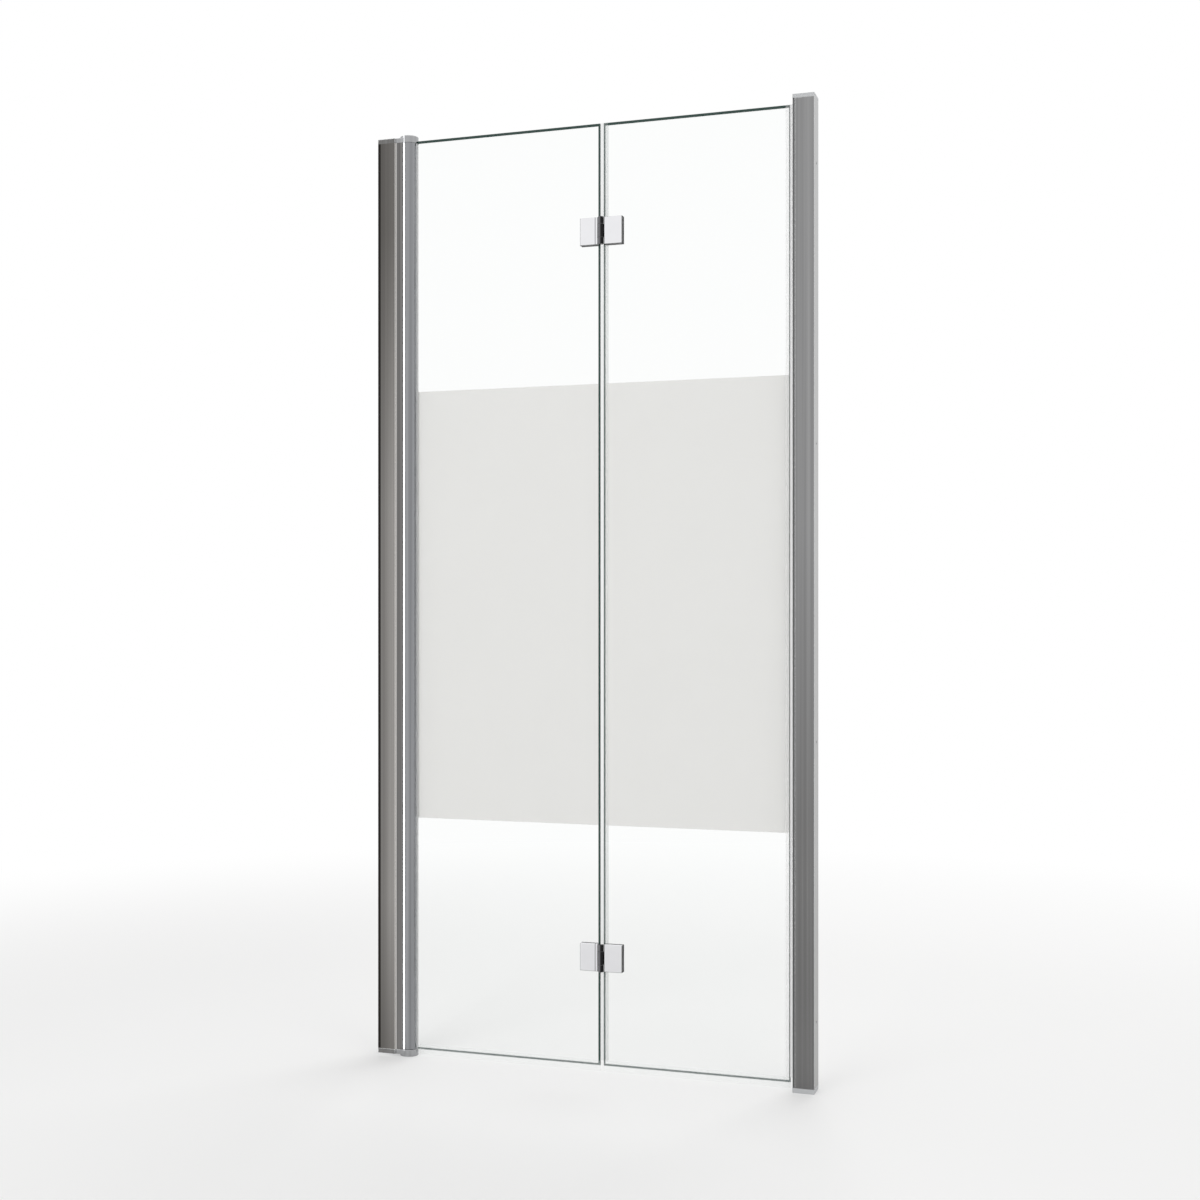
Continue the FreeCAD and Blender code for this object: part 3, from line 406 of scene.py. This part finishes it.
PLASTIC_CLOUDS = (25, 25, 25)
PLASTIC_DETAIL = 3.0
PLASTICS = {
    "magnet_strip": {
        "tones": ((0.03, 0.028, 0.026), (0.05, 0.046, 0.042)),
        "roughness": (0.5, 0.7), "waves": (900, 900, 900), "depth": 0.00002,
    },
    "nylon": {
        "tones": ((0.070, 0.070, 0.072), (0.10, 0.10, 0.103)),
        "roughness": (0.35, 0.5), "waves": (900, 900, 900), "depth": 0.00001,
    },
    "cap_plastic": {
        "tones": ((0.44, 0.45, 0.46), (0.52, 0.53, 0.54)),
        "roughness": (0.30, 0.42), "waves": (1500, 1500, 1500), "depth": 0.00002,
    },
    "clear_gasket": {
        "tones": ((0.66, 0.67, 0.67), (0.74, 0.75, 0.75)),
        "roughness": (0.25, 0.4), "waves": (800, 800, 8), "depth": 0.00001,
    },
    "black_rubber": {
        "tones": ((0.012, 0.012, 0.013), (0.022, 0.022, 0.023)),
        "roughness": (0.5, 0.7), "waves": (900, 900, 900), "depth": 0.00002,
    },
}


def plastic(name, tones, roughness, waves, depth):
    """Moulded or extruded plastic with faint clouds and a fine surface."""
    finish = Finish(name)
    surface = finish.noise(waves, PLASTIC_DETAIL)
    finish.feed("Base Color", finish.tinted(finish.noise(PLASTIC_CLOUDS), *tones))
    finish.feed("Roughness", finish.ranged(surface, *roughness))
    finish.relief(surface, depth, EDGE_ROUNDING)
    return finish.material


# Which node has which finish: its own, or else that of its material slot in the record

FINISHES = {
    "chrome": chrome(),
    "stainless_steel": stainless_steel(),
    "frosted_glass": frosted_glass(),
    "clear_seal": clear_seal("clear_seal", CLEAR_SEAL_TONES),
    "white_seal": magnet_seal(),
    **{slot: plastic(slot, **look) for slot, look in PLASTICS.items()},
}

# The aluminium pieces are one metal: their tones differ from piece to piece as painted reflections
# of their surroundings, darker where a piece mirrors shade.
CAST_TONES = (0.145, 0.142, 0.138), (0.42, 0.426, 0.436)
CHANNEL_TONES = (0.135, 0.130, 0.124), (0.355, 0.342, 0.328)
# Painted shade on the hinge channel: darker towards its top and towards its bottom.
CHANNEL_PAINTED_SHADES = (1.1, 1.65, 0.6), (0.32, 0.02, 0.5)
CARRIER_TONES = (0.135, 0.132, 0.130), (0.215, 0.211, 0.208)
COLUMN_TONES = (0.230, 0.235, 0.245), (0.335, 0.342, 0.355)
STRIKE_CHANNEL_TONES = (0.225, 0.225, 0.227), (0.315, 0.315, 0.317)
# Painted shade on the strike channel: darker towards its bottom.
STRIKE_CHANNEL_PAINTED_SHADES = ((1.05, 0.5, 0.35),)
STRIKE_TONES = (0.11, 0.11, 0.112), (0.17, 0.17, 0.172)
# Painted shadow: a dark line along the hinge channel's wall-side edge, where it meets the wall.
WALL_SHADOW_REACH = 0.0055
WALL_SHADOW_COLOUR = (0.022, 0.020, 0.018)
# Painted highlight: a bright line along the channel's lip and along the carrier's edge beside it.
LIP_GLINT_REACH = 0.0008
CARRIER_GLINT_REACH = 0.0021
PAINTED_GLINT_COLOUR = (0.84, 0.82, 0.80)

# The brackets and the hinge channel carry a painted reflection across X, dark at one side and
# light at the other.
CAST = polished_aluminium("cast_tone", CAST_TONES, rim_highlights=True, reflection_span=(HINGE_LIP, COLUMN_LEFT))
MIDDLE_SEAL = clear_seal("middle_seal", MIDDLE_SEAL_TONES)
NODE_FINISHES = {
    "hinge_wall_channel": polished_aluminium(
        "channel_tone", CHANNEL_TONES, reflection_span=(DOOR_LEFT, HINGE_LIP), painted_shades=CHANNEL_PAINTED_SHADES,
        painted_strips=((DOOR_LEFT, WALL_SHADOW_REACH, WALL_SHADOW_COLOUR), (HINGE_LIP, LIP_GLINT_REACH, PAINTED_GLINT_COLOUR)),
    ),
    "strike_wall_channel": polished_aluminium(
        "strike_channel_tone", STRIKE_CHANNEL_TONES, rim_highlights=True, painted_shades=STRIKE_CHANNEL_PAINTED_SHADES,
    ),
    "pivot_carrier": polished_aluminium(
        "carrier_tone", CARRIER_TONES, painted_strips=((HINGE_LIP, CARRIER_GLINT_REACH, PAINTED_GLINT_COLOUR),),
    ),
    "door_column": polished_aluminium("column_tone", COLUMN_TONES),
    "top_pivot_bracket": CAST,
    "bottom_pivot_bracket": CAST,
    "strike_profile": polished_aluminium("strike_tone", STRIKE_TONES),
    "middle_seal_lower": MIDDLE_SEAL,
    "middle_seal_centre": MIDDLE_SEAL,
    "middle_seal_upper": MIDDLE_SEAL,
    "hinge_panel_glass": clear_glass("hinge_panel_glass", OUTER_EDGE_REFLECTION, FIXED_FOLD_EDGE_REFLECTION),
    "folding_panel_glass": clear_glass("folding_panel_glass", MOVING_FOLD_EDGE_REFLECTION, OUTER_EDGE_REFLECTION),
}
LETS_LIGHT_THROUGH = ("clear_glass", "clear_seal")


def dress_nodes():
    for part in frame["record"]["subparts"]:
        shown = frame["nodes"][part["node"]]
        slot = part["material_slot"]
        finish = NODE_FINISHES.get(part["node"]) or FINISHES[slot]
        for place in shown.material_slots:
            place.material = finish
        if slot in LETS_LIGHT_THROUGH:
            shown.visible_shadow = False
            shown.visible_diffuse = False


# Stage: a pale floor that fades into a white background, and soft lights

FLOOR_HALF = 9.0
FLOOR_SEAM = -0.42
FLOOR_NEAR = 1.1
FLOOR_FAR = 3.2
FLOOR_COLOUR = (0.90, 0.90, 0.895)
FLOOR_ROUGHNESS = 0.6
NEAR_WHITE = 0.3
AMBIENT = 0.62
COLUMN_MIDDLE = (-0.38, 0, 1.0)
DOOR_MIDDLE = (0, 0, 0.9)
STRIP_SIZE = (0.8, 4.4)
STRIP_LIGHTS = {
    "strip_light": {"place": (-2.39, -1.81, 1.0), "watts": 9},
    "column_light": {"place": (-2.27, -1.70, 1.0), "watts": 81, "only": ("door_column",)},
    "bracket_light": {
        "place": (-2.15, -1.59, 1.0), "watts": 13,
        "only": ("top_pivot_bracket", "bottom_pivot_bracket"),
    },
}
SOFT_BOXES = {
    "key_light": {"place": (-1.0, -3.4, 1.8), "size": (2.2, 2.2), "watts": 39},
    "fill_light": {"place": (2.6, -2.2, 1.9), "size": (2.0, 2.0), "watts": 15},
    "back_light": {"place": (0.4, 2.4, 2.6), "size": (2.0, 1.5), "watts": 33},
}


def seen_directly(tree):
    """1 for rays from the camera, from metal or through glass, and 0 for light on the door."""
    path = add_node(tree, "ShaderNodeLightPath").outputs
    seen = path["Is Camera Ray"]
    for kind in ("Glossy", "Transmission"):
        values = {0: seen, 1: path[f"Is {kind} Ray"]}
        seen = add_node(tree, "ShaderNodeMath", values, operation="MAXIMUM").outputs[0]
    return seen


def add_world():
    world = bpy.data.worlds.new("white_studio")
    world.use_nodes = True
    tree = world.node_tree
    values = {"Value": seen_directly(tree), "To Min": AMBIENT, "To Max": 1.0}
    strength = add_node(tree, "ShaderNodeMapRange", values).outputs["Result"]
    background = tree.nodes["Background"]
    background.inputs["Color"].default_value = WHITE
    tree.links.new(strength, background.inputs["Strength"])
    bpy.context.scene.world = world


def add_sheet(name, corners, material):
    """A flat stage sheet with four corners."""
    mesh = bpy.data.meshes.new(name)
    mesh.from_pydata(corners, [], [(0, 1, 2, 3)])
    mesh.materials.append(material)
    sheet = bpy.data.objects.new(name, mesh)
    bpy.context.scene.collection.objects.link(sheet)
    return sheet


def floor_material():
    """Pale near the door and white far from it."""
    constants = {"Base Color": (*FLOOR_COLOUR, 1), "Roughness": FLOOR_ROUGHNESS}
    finish = Finish("pale_floor", constants)
    tree = finish.tree
    centre = {0: finish.place.outputs["Object"]}
    distance = add_node(tree, "ShaderNodeVectorMath", centre, operation="LENGTH").outputs["Value"]
    values = {
        "Value": distance, "From Min": FLOOR_NEAR, "From Max": FLOOR_FAR, "To Min": NEAR_WHITE,
    }
    fade = add_node(tree, "ShaderNodeMapRange", values, interpolation_type="SMOOTHSTEP")
    share = finish.math("MULTIPLY", fade.outputs["Result"], seen_directly(tree))
    glow = add_node(tree, "ShaderNodeEmission", {"Color": WHITE, "Strength": 1.0}).outputs[0]
    shaders = {0: share, 1: finish.shader.outputs[0], 2: glow}
    blend = add_node(tree, "ShaderNodeMixShader", shaders).outputs[0]
    tree.links.new(blend, tree.nodes["Material Output"].inputs["Surface"])
    return finish.material


def add_floor():
    """The floor in two sheets. Metal doesn't mirror the left one, which would hide the lower
    half of the strip lights from the column."""
    material = floor_material()
    sheets = {"floor_left": (-FLOOR_HALF, FLOOR_SEAM), "floor_right": (FLOOR_SEAM, FLOOR_HALF)}
    for name, (left, right) in sheets.items():
        near = [(left, -FLOOR_HALF, 0), (right, -FLOOR_HALF, 0)]
        far = [(right, FLOOR_HALF, 0), (left, FLOOR_HALF, 0)]
        sheet = add_sheet(name, near + far, material)
        sheet.visible_glossy = name == "floor_right"


def add_light(name, place, target, size, watts, mirrored, only=()):
    """An area light that shiny surfaces mirror, or else one that lights only dull ones.
    It reaches the nodes that are named, or everything where none is."""
    data = bpy.data.lights.new(name, "AREA")
    data.shape = "RECTANGLE"
    data.size, data.size_y = size
    data.energy = watts
    light = bpy.data.objects.new(name, data)
    light.location = place
    aim = Vector(target) - Vector(place)
    light.rotation_euler = aim.to_track_quat("-Z", "Y").to_euler()
    light.visible_transmission = False
    light.visible_glossy = mirrored
    light.visible_diffuse = not mirrored
    if only:
        lit = bpy.data.collections.new(f"{name}_nodes")
        for node in only:
            lit.objects.link(frame["nodes"][node])
        light.light_linking.receiver_collection = lit
    bpy.context.scene.collection.objects.link(light)


def add_lights():
    for name, values in STRIP_LIGHTS.items():
        add_light(name, target=COLUMN_MIDDLE, size=STRIP_SIZE, mirrored=True, **values)
    for name, values in SOFT_BOXES.items():
        add_light(name, target=DOOR_MIDDLE, mirrored=False, **values)


add_camera()
add_world()
add_floor()
add_lights()
dress_nodes()

bpy.context.scene.view_settings.view_transform = "Standard"
